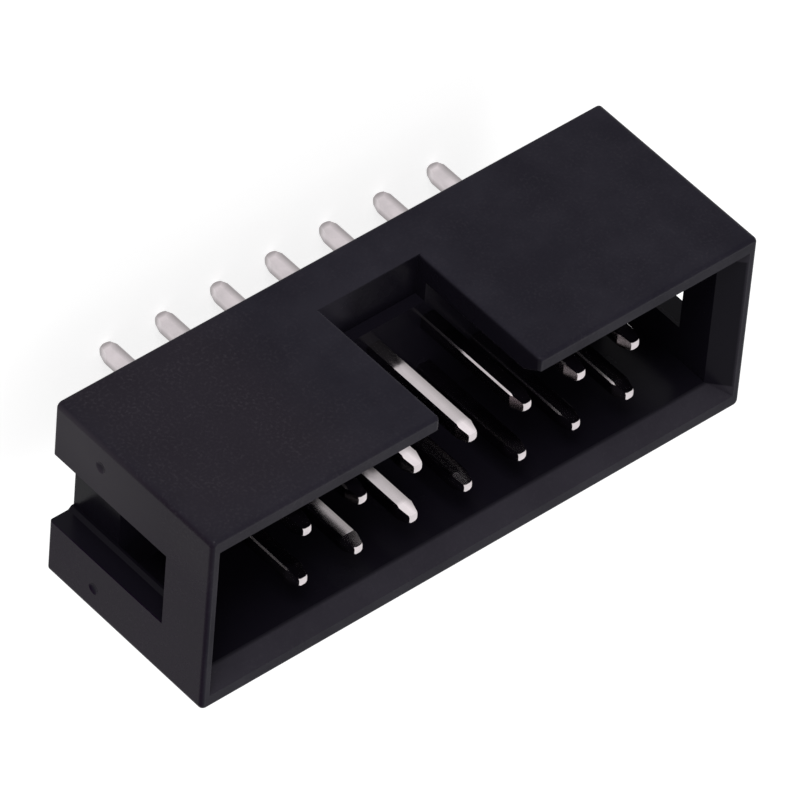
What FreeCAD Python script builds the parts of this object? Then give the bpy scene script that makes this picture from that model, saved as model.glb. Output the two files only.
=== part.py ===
import FreeCAD, Part
import os
from FreeCAD import Vector

# Two-row box header for a ribbon cable socket, in millimetres.
# The origin is the centre of the face that sits on the board. X runs along the pin rows, Y points to the
# wall with the key slot, and Z points out of the mouth. The solder tails hang below zero.

# contacts
pitch = 2.54
column_count = 7
row_count = 2
pin_side = 0.64
pin_edge = 0.06          # width of the soft edge between two faces of the square wire
tip_recess = 0.65        # from the mouth down to the pin tips
tip_taper = 0.6          # length of the coined point in the cavity
tip_inset = 0.14         # how far each face is coined in at that point
tail_length = 3.3        # below the board face
tail_taper = 0.5
tail_inset = 0.12
nose_flat = 0.2          # radius of the flat left where a ball rounds off each end of a pin

# moulded housing
end_margin = 5.0         # from the last column of pins to the end of the housing
side_margin = 2.98       # from a row of pins to the outside of the long wall beside it
body_height = 8.6
side_wall = 1.15
end_wall = 1.1
floor_thickness = 2.5
side_rim = 0.62          # from the long face in to the lead-in that slopes down round the mouth
end_rim = 0.35           # the same from the end face
lead_in_depth = 0.8      # from the mouth down to the foot of that slope
corner_radius = 0.25     # upright outer edges
mouth_edge_radius = 0.18 # outer edges round the mouth
base_edge_radius = 0.12  # outer edges round the board face

# notch for the socket's key, in one long wall
key_width = 4.6
key_sink = 0.5           # its pocket goes this far below the cavity floor
key_depth = 1.95         # from the outer face in to the back of that pocket
key_edge_radius = 0.15   # of the wall's edges on both sides of the notch

# slots in both end walls, open at the board
end_slot_width = 3.4
end_slot_depth = 0.85    # from the end face in to a small sloped step in both sides of the slot
end_slot_step = 0.14     # the slot gets this much narrower there on each side
end_slot_bridge = 2.35   # wall left between the slot and the mouth

# funnels on the board face, where the pins were pressed in
funnel_margin = 0.2
funnel_depth = 0.35

# dished ejector marks beside the end slots
mark_diameter = 0.5
mark_depth = 0.1
mark_inset = 1.18        # from the long face to the middle of the mark
mark_height = 2.55       # above the board face

# what follows from the sizes above
body_length = (column_count - 1) * pitch + 2 * end_margin
body_width = (row_count - 1) * pitch + 2 * side_margin
cavity_length = body_length - 2 * end_wall
cavity_width = body_width - 2 * side_wall
tip_height = body_height - tip_recess
nose_radius = pin_side / 2 ** 0.5   # that ball just reaches the corners of the square wire
clear = 1.0              # how far a cutting solid runs out into the air
near = 1e-6              # two places closer than this are the same


def pin_places():
    """The middle of each pin, row by row, starting in the row beside the key slot."""
    for row in range(row_count):
        for column in range(column_count):
            x = (column - (column_count - 1) / 2) * pitch
            y = ((row_count - 1) / 2 - row) * pitch
            yield x, y


def upright(edge):
    """True for an edge whose two ends lie one above the other."""
    first, last = edge.Vertexes
    return abs(first.X - last.X) < near and abs(first.Y - last.Y) < near


def at_height(edge, z):
    """True for an edge in the plane at height z."""
    return all(abs(vertex.Z - z) < near for vertex in edge.Vertexes)


def block(x_range, y_range, z_range):
    """A box between two x, two y and two z values."""
    corner = Vector(x_range[0], y_range[0], z_range[0])
    sides = [high - low for low, high in (x_range, y_range, z_range)]
    return Part.makeBox(*sides, corner)


def centred(length, width, z_range):
    """A box with its middle on the Z axis."""
    return block((-length / 2, length / 2), (-width / 2, width / 2), z_range)


def frustum(z_range, low_size, high_size):
    """A block round the Z axis, whose length and width change evenly with height."""
    low_x, low_y = [side / 2 for side in low_size]
    high_x, high_y = [side / 2 for side in high_size]
    low_z, high_z = z_range
    wedge = Part.makeWedge(-low_x, low_z, -low_y, -high_y, -high_x, low_x, high_z, low_y, high_y, high_x)
    wedge.rotate(Vector(0, 0, 0), Vector(1, 0, 0), 90)
    return wedge


def square_frustum(x, y, z_range, low_side, high_side):
    """The same with square ends, round an upright line through x, y."""
    made = frustum(z_range, (low_side, low_side), (high_side, high_side))
    made.translate(Vector(x, y, 0))
    return made


def wire(x, y, z_range):
    """A length of square wire with its four edges softened."""
    half = pin_side / 2
    corner = Vector(x - half, y - half, z_range[0])
    stock = Part.makeBox(pin_side, pin_side, z_range[1] - z_range[0], corner)
    edge = min(pin_edge, half / 2)
    return stock.makeChamfer(edge, [e for e in stock.Edges if upright(e)])


def capsule(x, y, z_range):
    """A round bar with a ball at each end, where each ball goes a little past the z values."""
    drop = (nose_radius ** 2 - nose_flat ** 2) ** 0.5
    low, high = z_range[0] + drop, z_range[1] - drop
    bar = Part.makeCylinder(nose_radius, high - low, Vector(x, y, low))
    return bar.fuse([Part.makeSphere(nose_radius, Vector(x, y, z)) for z in (low, high)])


def pin(x, y):
    """One contact: square wire, coined to a blunt and rounded point at both ends."""
    ends = (-tail_length, tip_height)
    tail_shoulder = tail_taper - tail_length
    tip_shoulder = tip_height - tip_taper
    tail_point = square_frustum(x, y, (-tail_length, tail_shoulder), pin_side - 2 * tail_inset, pin_side)
    shank = square_frustum(x, y, (tail_shoulder, tip_shoulder), pin_side, pin_side)
    tip_point = square_frustum(x, y, (tip_shoulder, tip_height), pin_side, pin_side - 2 * tip_inset)
    form = tail_point.fuse([shank, tip_point])
    return wire(x, y, ends).common(form).common(capsule(x, y, ends)).removeSplitter()


def pin_seat(x, y):
    """What a pin takes out of the floor: its own section, and a funnel on the board face."""
    hole = wire(x, y, (-clear, floor_thickness + clear))
    past_edge = pin_edge * funnel_depth / funnel_margin
    wide = pin_side + 2 * funnel_margin
    narrow = pin_side - 2 * pin_edge
    return hole.fuse(square_frustum(x, y, (0, funnel_depth + past_edge), wide, narrow))


def outer_block():
    """The moulding's outer form with softened edges."""
    body = centred(body_length, body_width, (0, body_height))
    body = body.makeFillet(corner_radius, [e for e in body.Edges if upright(e)])
    body = body.makeFillet(base_edge_radius, [e for e in body.Edges if at_height(e, 0)])
    return body.makeFillet(mouth_edge_radius, [e for e in body.Edges if at_height(e, body_height)])


def open_box():
    """The outer block with the socket's cavity in it and the lead-in sloped round the mouth."""
    cavity = centred(cavity_length, cavity_width, (floor_thickness, body_height + clear))
    mouth = (body_length - 2 * end_rim, body_width - 2 * side_rim)
    lead_in = frustum((body_height - lead_in_depth, body_height), (cavity_length, cavity_width), mouth)
    return outer_block().cut([cavity, lead_in])


def key_slot():
    """The notch at +Y, from the mouth down to a pocket just below the cavity floor."""
    outside = body_width / 2
    return block((-key_width / 2, key_width / 2), (outside - key_depth, outside + clear),
                 (floor_thickness - key_sink, body_height + clear))


def beside_key(edge):
    """True where a side of the notch meets the wall's two faces, the lead-in or the rim."""
    in_wall = all(abs(abs(vertex.X) - key_width / 2) < near and vertex.Y > cavity_width / 2 - near
                  for vertex in edge.Vertexes)
    return in_wall and max(vertex.Z for vertex in edge.Vertexes) > floor_thickness + near


def notched_box():
    """The open box with the notch in its wall, softly edged on both sides."""
    box = open_box().cut(key_slot())
    return box.makeFillet(key_edge_radius, [e for e in box.Edges if beside_key(e)])


def end_slot(end):
    """As deep as the end wall, open at the board and closed by a bridge below the mouth."""
    outer = body_length / 2
    shoulder = outer - end_slot_depth
    wide = end_slot_width / 2
    narrow = wide - end_slot_step
    side = [(outer + clear, wide), (shoulder, wide), (shoulder - end_slot_step, narrow),
            (outer - end_wall, narrow)]
    outline = side + [(x, -y) for x, y in reversed(side)] + side[:1]
    floor_plan = Part.makePolygon([Vector(end * x, y, -clear) for x, y in outline])
    return Part.Face(floor_plan).extrude(Vector(0, 0, clear + body_height - end_slot_bridge))


def ejector_marks():
    """Balls that leave a shallow dished mark on each side of each end slot."""
    ball_radius = (mark_diameter ** 2 / 4 + mark_depth ** 2) / (2 * mark_depth)
    x = body_length / 2 - mark_depth + ball_radius
    y = body_width / 2 - mark_inset
    return [Part.makeSphere(ball_radius, Vector(end * x, side * y, mark_height))
            for end in (-1, 1) for side in (-1, 1)]


def housing():
    """The moulding in one piece."""
    seats = [pin_seat(*place) for place in pin_places()]
    return notched_box().cut([end_slot(-1), end_slot(1)] + ejector_marks() + seats).removeSplitter()


def export(shape, name):
    """Write a piece, as a bare solid when it is in one piece."""
    piece = shape.Solids[0] if len(shape.Solids) == 1 else shape
    print(name, "solids", len(shape.Solids), "valid", piece.isValid(), "volume", round(piece.Volume, 3))
    piece.exportStep("parts/" + name + ".step")


os.makedirs("parts", exist_ok=True)
export(housing(), "housing")
for number, place in enumerate(pin_places(), start=1):
    export(pin(*place), "pin_%02d" % number)
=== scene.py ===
import math

import bpy
from mathutils import Matrix, Vector


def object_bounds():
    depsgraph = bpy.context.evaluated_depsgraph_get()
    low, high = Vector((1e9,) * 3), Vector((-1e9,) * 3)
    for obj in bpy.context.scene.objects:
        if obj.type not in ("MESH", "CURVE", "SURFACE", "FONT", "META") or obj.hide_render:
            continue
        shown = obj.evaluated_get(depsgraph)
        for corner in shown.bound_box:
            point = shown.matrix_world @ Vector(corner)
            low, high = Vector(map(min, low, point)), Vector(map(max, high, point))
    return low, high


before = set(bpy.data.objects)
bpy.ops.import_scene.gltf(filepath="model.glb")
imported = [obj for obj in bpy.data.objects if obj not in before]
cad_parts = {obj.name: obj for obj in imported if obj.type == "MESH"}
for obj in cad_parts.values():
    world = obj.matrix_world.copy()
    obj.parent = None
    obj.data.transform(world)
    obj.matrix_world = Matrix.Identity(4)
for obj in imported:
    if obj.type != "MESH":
        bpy.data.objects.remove(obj)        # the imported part, in metres, standing on its solder tails
bpy.context.view_layer.update()
cadLow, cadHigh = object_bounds()
mm = 0.001
print("frame loaded,", len(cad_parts), "nodes")


# camera

shot = {
    "aim": (0.96, -1.42, 3.10),   # mm, what lies in the middle of the picture
    "azimuth": 214.35,            # degrees, 0 looks along +Y
    "elevation": 30.37,
    "roll": 228.39,               # turned until the wall with the key slot is up
    "distance": 372.7,            # mm
    "lens": 469.7,
    "sensor": 36.0,
}


def makeCamera():
    azimuth, elevation, roll = (math.radians(shot[k]) for k in ("azimuth", "elevation", "roll"))
    outwards = math.cos(elevation)
    back = Vector((math.sin(azimuth) * outwards, -math.cos(azimuth) * outwards, math.sin(elevation)))
    level = Vector((0, 0, 1)).cross(back).normalized()
    up = back.cross(level) * math.cos(roll) + level * math.sin(roll)
    turned = Matrix((up.cross(back), up, back)).transposed().to_4x4()
    place = (Vector(shot["aim"]) + back * shot["distance"]) * mm
    data = bpy.data.cameras.new("photoCamera")
    data.lens = shot["lens"]
    data.sensor_width = shot["sensor"]
    camera = bpy.data.objects.new("photoCamera", data)
    camera.matrix_world = Matrix.Translation(place) @ turned
    bpy.context.scene.collection.objects.link(camera)
    bpy.context.scene.camera = camera


makeCamera()
print("camera placed")


# shader nodes, where a pair of a node and the name of its output stands for what comes out of it

def newMaterial(name):
    material = bpy.data.materials.new(name)
    material.use_nodes = True
    return material, material.node_tree, material.node_tree.nodes["Principled BSDF"]


def addNode(tree, kind, sockets=None, **settings):
    node = tree.nodes.new("ShaderNode" + kind)
    for name, value in settings.items():
        setattr(node, name, value)
    for name, value in (sockets or {}).items():
        node.inputs[name].default_value = value
    return node


def plug(tree, source, target, name):
    node, output = source
    tree.links.new(node.outputs[output], target.inputs[name])


def patternSpace(tree, stretch=(1, 1, 1)):       # the piece's own place, in mm
    place = addNode(tree, "TexCoord")
    scaled = addNode(tree, "Mapping", {"Scale": [s / mm for s in stretch]})
    plug(tree, (place, "Object"), scaled, "Vector")
    return scaled, "Vector"


def noise(tree, space, pattern):                 # pattern holds its scale, detail and roughness
    scale, detail, roughness = pattern
    made = addNode(tree, "TexNoise", {"Scale": scale, "Detail": detail, "Roughness": roughness})
    plug(tree, space, made, "Vector")
    return made, "Fac"


def joined(tree, operation, first, second):
    made = addNode(tree, "Math", operation=operation)
    plug(tree, first, made, 0)
    plug(tree, second, made, 1)
    return made, "Value"


def larger(tree, first, second):
    return joined(tree, "MAXIMUM", first, second)


def times(tree, first, second):
    return joined(tree, "MULTIPLY", first, second)


def remapped(tree, source, fromRange, toRange):
    sockets = dict(zip(("From Min", "From Max", "To Min", "To Max"), (*fromRange, *toRange)))
    made = addNode(tree, "MapRange", sockets)
    plug(tree, source, made, "Value")
    return made, "Result"


def stretched(tree, source, low, high):          # 0 to 1 turned into low to high
    return remapped(tree, source, (0.0, 1.0), (low, high))


def spread(tree, pattern, low, high):            # the same for what a noise usually gives
    usual = (0.3, 0.7)
    return remapped(tree, pattern, usual, (low, high))


def zone(tree, space, box):                      # 1 in the box, falling to 0 around it
    low, high, soft = box
    middle = [(a + b) / 2 for a, b in zip(low, high)]
    half = [(b - a) / 2 for a, b in zip(low, high)]
    centred = addNode(tree, "VectorMath", {1: middle}, operation="SUBTRACT")
    oneSide = addNode(tree, "VectorMath", operation="ABSOLUTE")
    past = addNode(tree, "VectorMath", {1: half}, operation="SUBTRACT")
    split = addNode(tree, "SeparateXYZ")
    plug(tree, space, centred, 0)
    plug(tree, (centred, "Vector"), oneSide, 0)
    plug(tree, (oneSide, "Vector"), past, 0)
    plug(tree, (past, "Vector"), split, "Vector")
    furthest = larger(tree, larger(tree, (split, "X"), (split, "Y")), (split, "Z"))
    return remapped(tree, furthest, (0.0, soft), (1.0, 0.0))


def ramp(tree, source, stops):
    made = addNode(tree, "ValToRGB")
    for element, (place, colour) in zip(made.color_ramp.elements, stops):
        element.position = place
        element.color = (*colour, 1)
    plug(tree, source, made, "Fac")
    return made, "Color"


def painted(tree, under, amount, colour):        # a colour laid over another where amount is 1
    made = addNode(tree, "MixRGB", {"Color2": (*colour, 1)})
    plug(tree, amount, made, "Fac")
    plug(tree, under, made, "Color1")
    return made, "Color"


def finishShader(tree, shader, colour, roughness, height, strength, depth):
    plug(tree, colour, shader, "Base Color")
    plug(tree, roughness, shader, "Roughness")
    bump = addNode(tree, "Bump", {"Strength": strength, "Distance": depth * mm})
    plug(tree, height, bump, "Height")
    plug(tree, (bump, "Normal"), shader, "Normal")


# black moulded plastic

plastic = {
    "deepBlack": (0.0122, 0.0108, 0.0175),
    "greyBlack": (0.0195, 0.0178, 0.0258),
    # painted shade for the cavity, end slots and key notch
    "insideShadeBlack": (0.0070, 0.0060, 0.0098),
    # painted shade: a darker black on the end faces
    "endShadeBlack": (0.0050, 0.0010, 0.0086),
    "mauveBlack": (0.0185, 0.0148, 0.0208),
    # a dust grey, used for real specks of dust and for painted sheen
    "dustAndSheen": (0.057, 0.051, 0.061),
    "specular": 0.042,
    "glossiest": 0.16,
    "dullest": 0.30,
    "clouds": (0.35, 5, 0.6),     # patterns: scale per mm, detail, roughness
    "dust": (8.0, 2, 0.5),
    "dustPatches": (0.9, 2, 0.5),
    "grain": (13.0, 3, 0.6),
    "deepTo": 0.35,               # deep black where the clouds are under this
    "greyFrom": 0.68,             # grey black where they are over this
    "fewSpecks": -1.0,            # the lower, the fewer specks of dust
    "thinnestPatch": 0.2,
    "dustInScuffs": 0.36,
    "dustElsewhere": 0.14,
    "mauveInScuffs": 0.7,
    # painted sheen on the near end's corner
    "paintedEndSheen": 0.47,
    "paintedLeadInSheen": 0.26,              # painted sheen on the sloped lead-in along the walls
    "stepLightAmount": 0.9,                  # painted light on the step at the foot of the key slot
    "grainStrength": 0.6,
    "grainDepth": 0.0025,         # mm
}

plasticZones = {                  # boxes in mm: low corner, high corner, and how softly they end
    "cavity": ((-12.2, -3.12, 1.0), (12.2, 3.12, 9.0), 0.06),
    "endSlots": ((-12.55, -1.72, 0.03), (12.55, 1.72, 6.28), 0.04),
    "keyNotch": ((-2.36, 0.0, 1.98), (2.36, 4.18, 9.0), 0.05),
    "leadIn": ((-12.3, -3.62, 7.78), (12.3, 3.62, 8.59), 0.02),
    # where light is painted on the step
    "paintedLitStep": ((-2.5, 3.5, 1.9), (-1.4, 4.2, 2.02), 0.9),
    "betweenEnds": ((-12.5, -9.0, -9.0), (12.5, 9.0, 19.0), 0.1),
    "scuffed": ((-11.5, 4.0, 0.5), (-6.8, 4.4, 7.0), 2.6),
    # where painted sheen lightens the near end
    "paintedSheenCorner": ((-13.0, 3.2, -0.5), (-12.4, 4.6, 1.5), 4.6),
}


def makePlastic():
    material, tree, shader = newMaterial("mouldedPlastic")
    space = patternSpace(tree)
    clouds, dust, patches, grain = (
        noise(tree, space, plastic[name]) for name in ("clouds", "dust", "dustPatches", "grain"))
    inZone = {name: zone(tree, space, box) for name, box in plasticZones.items()}

    # the outside: clouds of black, painted shade that darkens the ends, and a mauve scuffed area
    stops = [(plastic["deepTo"], plastic["deepBlack"]), (plastic["greyFrom"], plastic["greyBlack"])]
    colour = ramp(tree, clouds, stops)
    atEnds = stretched(tree, inZone["betweenEnds"], 1.0, 0.0)
    colour = painted(tree, colour, atEnds, plastic["endShadeBlack"])
    mauve = stretched(tree, inZone["scuffed"], 0.0, plastic["mauveInScuffs"])
    colour = painted(tree, colour, mauve, plastic["mauveBlack"])

    # specks of dust, painted sheen on the low corner of the near end, and painted sheen on the lead-in
    dustiness = stretched(tree, inZone["scuffed"], plastic["dustElsewhere"], plastic["dustInScuffs"])
    specks = times(tree, spread(tree, dust, plastic["fewSpecks"], 1.0),
                   spread(tree, patches, plastic["thinnestPatch"], 1.0))
    specks = times(tree, specks, dustiness)
    # painted sheen: the near end's corner drawn lighter
    hazeAndSheen = stretched(tree, times(tree, inZone["paintedSheenCorner"], atEnds), 0.0, plastic["paintedEndSheen"])
    colour = painted(tree, colour, larger(tree, specks, hazeAndSheen), plastic["dustAndSheen"])
    # painted sheen: the lead-in drawn lighter
    leadInSheen = stretched(tree, inZone["leadIn"], 0.0, plastic["paintedLeadInSheen"])
    colour = painted(tree, colour, leadInSheen, plastic["dustAndSheen"])

    # painted shade darkening the cavity, end slots and key notch, apart from painted light on a step
    paintedShadeInside = larger(tree, larger(tree, inZone["cavity"], inZone["endSlots"]), inZone["keyNotch"])
    colour = painted(tree, colour, paintedShadeInside, plastic["insideShadeBlack"])
    # painted light on the step at the foot of the key slot
    stepLight = stretched(tree, inZone["paintedLitStep"], 0.0, plastic["stepLightAmount"])
    colour = painted(tree, colour, stepLight, plastic["greyBlack"])

    dull = spread(tree, clouds, plastic["glossiest"], plastic["dullest"])
    finishShader(tree, shader, colour, dull, grain, plastic["grainStrength"], plastic["grainDepth"])
    shader.inputs["Specular IOR Level"].default_value = plastic["specular"]
    return material


# tin plating

plating = {
    "brightTin": (0.69, 0.63, 0.65),
    "hazyTin": (0.59, 0.545, 0.56),
    # painted shade darkening the wires' edges and the tails' ends
    "edgeShadeTin": (0.33, 0.305, 0.31),
    "edgeShadeAmount": 0.95,
    "pitch": 2.54,                # mm, between the wires' middles
    "brightTo": 0.28,             # mm, across the wire's corners
    "shadedFrom": 0.54,
    "shankShadeTin": (0.36, 0.33, 0.34),
    "shankShade": 0.65,              # how much painted shade the shanks in the cavity have
    "glossiest": 0.07,
    "dullest": 0.15,
    "hazeAndSheen": (1.6, 3, 0.5),        # patterns: scale per mm, detail, roughness
    "drawLines": (1.0, 1, 0.5),
    "drawStretch": (3.5, 3.5, 0.2),   # along the wire the lines are long
    "drawStrength": 0.5,
    "drawDepth": 0.0006,          # mm
}

platingZones = {                  # boxes as in plasticZones
    "shanks": ((-9.0, -2.0, 2.5), (9.0, 2.0, 7.2), 0.2),
    "tailEnds": ((-9.0, -2.0, -3.6), (9.0, 2.0, -3.2), 0.22),
}


def acrossWire(tree, place, shift):              # one coordinate, from the nearest wire's middle
    half = plating["pitch"] / 2
    moved = addNode(tree, "Math", {1: shift}, operation="ADD")
    wrapped = addNode(tree, "Math", {1: half, 2: -half}, operation="WRAP")
    plug(tree, place, moved, 0)
    plug(tree, (moved, "Value"), wrapped, 0)
    return wrapped, "Value"


def paintedEdgeShade(tree, space):                      # 1 along two opposite edges and round the tail's end, where shade is painted
    split = addNode(tree, "SeparateXYZ")
    plug(tree, space, split, "Vector")
    alongRow = acrossWire(tree, (split, "X"), 0.0)
    alongColumn = acrossWire(tree, (split, "Y"), plating["pitch"] / 2)
    eitherSide = addNode(tree, "Math", operation="ABSOLUTE")
    plug(tree, joined(tree, "ADD", alongRow, alongColumn), eitherSide, 0)
    edges = remapped(tree, (eitherSide, "Value"), (plating["brightTo"], plating["shadedFrom"]), (0.0, 1.0))
    return larger(tree, edges, zone(tree, space, platingZones["tailEnds"]))


def makePlating():
    material, tree, shader = newMaterial("tinPlating")
    space = patternSpace(tree)
    hazeAndSheen = spread(tree, noise(tree, space, plating["hazeAndSheen"]), 0.0, 1.0)
    lines = noise(tree, patternSpace(tree, plating["drawStretch"]), plating["drawLines"])
    colour = ramp(tree, hazeAndSheen, [(0.0, plating["hazyTin"]), (1.0, plating["brightTin"])])
    # painted shade on the shanks inside the cavity
    shankShade = stretched(tree, zone(tree, space, platingZones["shanks"]), 0.0, plating["shankShade"])
    colour = painted(tree, colour, shankShade, plating["shankShadeTin"])
    # painted shade along the edges and round the tails' ends
    edgeShade = stretched(tree, paintedEdgeShade(tree, space), 0.0, plating["edgeShadeAmount"])
    colour = painted(tree, colour, edgeShade, plating["edgeShadeTin"])
    dull = spread(tree, lines, plating["glossiest"], plating["dullest"])
    finishShader(tree, shader, colour, dull, lines, plating["drawStrength"], plating["drawDepth"])
    shader.inputs["Metallic"].default_value = 1.0
    return material


def finishNodes():
    plasticFinish = makePlastic()
    platingFinish = makePlating()
    for name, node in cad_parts.items():
        isPin = name.startswith("pin")
        node.material_slots[0].material = platingFinish if isPin else plasticFinish


finishNodes()
print("materials assigned")


# floor, background and lamps

studio = {
    "floorSide": 900.0,           # mm
    "floorColour": (0.50, 0.50, 0.50),
    "floorRoughness": 0.9,
    "floorGlow": 0.77,            # plain white that the camera sees on top of the lit floor
    "worldLevel": 0.50,
}

lamps = {
    "keyLamp": {"from": (-0.35, 0.90, 0.25), "distance": 300.0, "size": 120.0, "level": 0.52},
    "fillLamp": {"from": (0.35, -0.45, 0.82), "distance": 340.0, "size": 220.0, "level": 0.25},
}


def seenDirectly(tree):                          # 1 for camera, glossy and transmission rays
    path = addNode(tree, "LightPath")
    either = larger(tree, (path, "Is Camera Ray"), (path, "Is Glossy Ray"))
    return larger(tree, either, (path, "Is Transmission Ray"))


def makeWorld():
    world = bpy.data.worlds.new("studio")
    world.use_nodes = True
    tree = world.node_tree
    background = tree.nodes["Background"]
    background.inputs["Color"].default_value = (1, 1, 1, 1)
    plug(tree, stretched(tree, seenDirectly(tree), studio["worldLevel"], 1.0), background, "Strength")
    bpy.context.scene.world = world


def makeFloorFinish():                           # from below it can be looked through
    material, tree, shader = newMaterial("paleFloor")
    shader.inputs["Base Color"].default_value = (*studio["floorColour"], 1)
    shader.inputs["Roughness"].default_value = studio["floorRoughness"]
    shader.inputs["Specular IOR Level"].default_value = 0.0
    glow = addNode(tree, "Emission")
    plug(tree, stretched(tree, seenDirectly(tree), 0.0, studio["floorGlow"]), glow, "Strength")
    lit = addNode(tree, "AddShader")
    plug(tree, (shader, "BSDF"), lit, 0)
    plug(tree, (glow, "Emission"), lit, 1)
    side = addNode(tree, "NewGeometry")
    clear = addNode(tree, "BsdfTransparent")
    oneSided = addNode(tree, "MixShader")
    plug(tree, (side, "Backfacing"), oneSided, "Fac")
    plug(tree, (lit, "Shader"), oneSided, 1)
    plug(tree, (clear, "BSDF"), oneSided, 2)
    plug(tree, (oneSided, "Shader"), tree.nodes["Material Output"], "Surface")
    material.cycles.emission_sampling = "NONE"   # the glow isn't a lamp
    return material


def makeFloor():
    bpy.ops.object.select_all(action="DESELECT")
    bpy.ops.mesh.primitive_plane_add(size=studio["floorSide"] * mm, location=(0, 0, cadLow.z))
    floor = bpy.context.object
    floor.name = "floor"
    floor.data.materials.append(makeFloorFinish())


def makeLamp(name, lamp):
    reach = lamp["distance"] * mm
    towards = Vector(lamp["from"]).normalized()
    facing = towards.to_track_quat("Z", "Y").to_matrix().to_4x4()
    data = bpy.data.lights.new(name, "AREA")
    data.size = lamp["size"] * mm
    data.energy = lamp["level"] * (math.pi * reach) ** 2   # white that faces it renders at its level
    made = bpy.data.objects.new(name, data)
    made.matrix_world = Matrix.Translation(towards * reach) @ facing
    bpy.context.scene.collection.objects.link(made)


makeWorld()
makeFloor()
for name, lamp in lamps.items():
    makeLamp(name, lamp)
bpy.context.scene.view_settings.view_transform = "Standard"
print("studio set")
